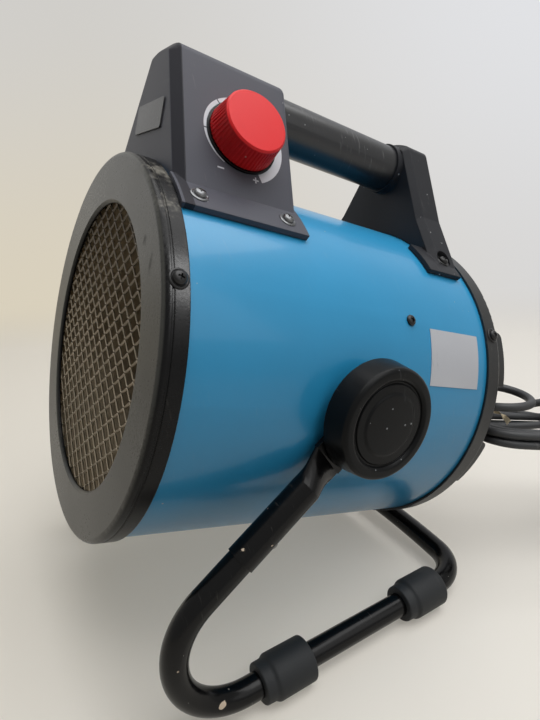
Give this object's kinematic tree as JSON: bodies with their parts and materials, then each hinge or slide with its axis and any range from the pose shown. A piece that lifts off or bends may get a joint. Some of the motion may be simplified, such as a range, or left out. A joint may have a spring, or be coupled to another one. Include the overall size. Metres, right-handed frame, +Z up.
{
  "type": "forced air heater",
  "caption": "Portable drum fan heater on a tilting tube stand, with a control box, thermostat dial, carrying handle, side clamp knobs and a tied mains cord.",
  "frame": {"origin": "on the floor, under the middle of the heater's box without its cord", "axes": "+Z up, -Y the way the warm air blows, +X the side with the thermostat dial"},
  "size_m": [0.3044, 0.4212, 0.3506],
  "materials": {
    "drum_paint": "gloss blue enamel, dusty",
    "ring_paint": "satin black enamel",
    "grille_steel": "bare steel net, heat tinted",
    "bright_sheet": "zinc plated sheet",
    "element_sheath": "oxidised heating element sheath",
    "motor_metal": "dark motor can",
    "fan_metal": "pressed aluminium fan",
    "cover_plastic": "black moulded plastic",
    "box_plastic": "dark grey moulded plastic, fine grain",
    "black_paint": "black powder coat",
    "dial_plastic": "red moulded plastic",
    "block_plastic": "cream moulded terminal block",
    "copper": "copper capillary bulb",
    "badge_plastic": "bare raised plate",
    "label_film": "bare silver film",
    "foot_rubber": "matte black rubber",
    "zinc_steel": "zinc plated fastener",
    "knob_plastic": "black moulded knob",
    "cord_rubber": "black rubber cable sheath",
    "plug_rubber": "black moulded plug",
    "pin_brass": "plated plug pins",
    "tie_paper": "cream paper tie"
  },
  "bodies": {
    "stand": {"right_arm": "black_paint", "left_arm": "black_paint", "lower_frame": "black_paint", "foot_sleeve_right_front": "foot_rubber", "foot_sleeve_right_rear": "foot_rubber", "foot_sleeve_left_front": "foot_rubber", "foot_sleeve_left_rear": "foot_rubber", "frame_screws": "zinc_steel"},
    "heater": {"drum_shell": "drum_paint", "outlet_ring": "ring_paint", "outlet_grille": "grille_steel", "inner_duct": "bright_sheet", "heating_ring_1": "element_sheath", "heating_ring_2": "element_sheath", "heating_ring_3": "element_sheath", "element_holder": "bright_sheet", "motor_bracket": "bright_sheet", "fan_motor": "motor_metal", "rear_cover": "cover_plastic", "control_box": "box_plastic", "rear_pillar": "box_plastic", "handle_tube": "black_paint", "dial_bezel": "cover_plastic", "thermostat_switch": "cover_plastic", "terminal_block": "block_plastic", "thermal_cutout": "cover_plastic", "thermostat_bulb": "copper", "front_badge": "badge_plastic", "rating_label": "label_film", "pivot_pad_right": "cover_plastic", "pivot_pad_left": "cover_plastic", "pivot_stud_right": "zinc_steel", "pivot_stud_left": "zinc_steel", "outlet_ring_screws": "zinc_steel", "rear_cover_screws": "zinc_steel", "drum_screws": "zinc_steel", "control_box_screws": "zinc_steel", "pillar_screws": "zinc_steel", "cord_gland": "cord_rubber", "mains_cord_lead": "cord_rubber", "cord_hank": "cord_rubber", "mains_cord_tail": "cord_rubber", "mains_plug": "plug_rubber", "plug_pins": "pin_brass", "cord_tie": "tie_paper"},
    "fan": {"impeller": "fan_metal", "motor_shaft": "bright_sheet"},
    "dial": {"control_dial": "dial_plastic"},
    "knob_right": {"clamp_knob_right": "knob_plastic"},
    "knob_left": {"clamp_knob_left": "knob_plastic"}
  },
  "joints": [
    {"name": "heater_tilt", "type": "hinge", "parent": "stand", "child": "heater", "pos_m": [0, 0.00191, 0.1544], "axis": [1, 0, 0], "range_deg": [-14, 16]},
    {"name": "fan_spin", "type": "hinge", "parent": "heater", "child": "fan", "pos_m": [0, 0.01441, 0.15082], "axis": [0, 0.9613, -0.2756], "continuous": true},
    {"name": "dial_turn", "type": "hinge", "parent": "heater", "child": "dial", "pos_m": [0.03863, -0.02807, 0.29943], "axis": [0.8788, 0.1315, 0.4587], "range_deg": [-270, 0]},
    {"name": "knob_right_turn", "type": "hinge", "parent": "heater", "child": "knob_right", "pos_m": [0.123, 0.00191, 0.1544], "axis": [1, 0, 0], "range_deg": [0, 360]},
    {"name": "knob_left_turn", "type": "hinge", "parent": "heater", "child": "knob_left", "pos_m": [-0.123, 0.00191, 0.1544], "axis": [-1, 0, 0], "range_deg": [0, 360]}
  ]
}
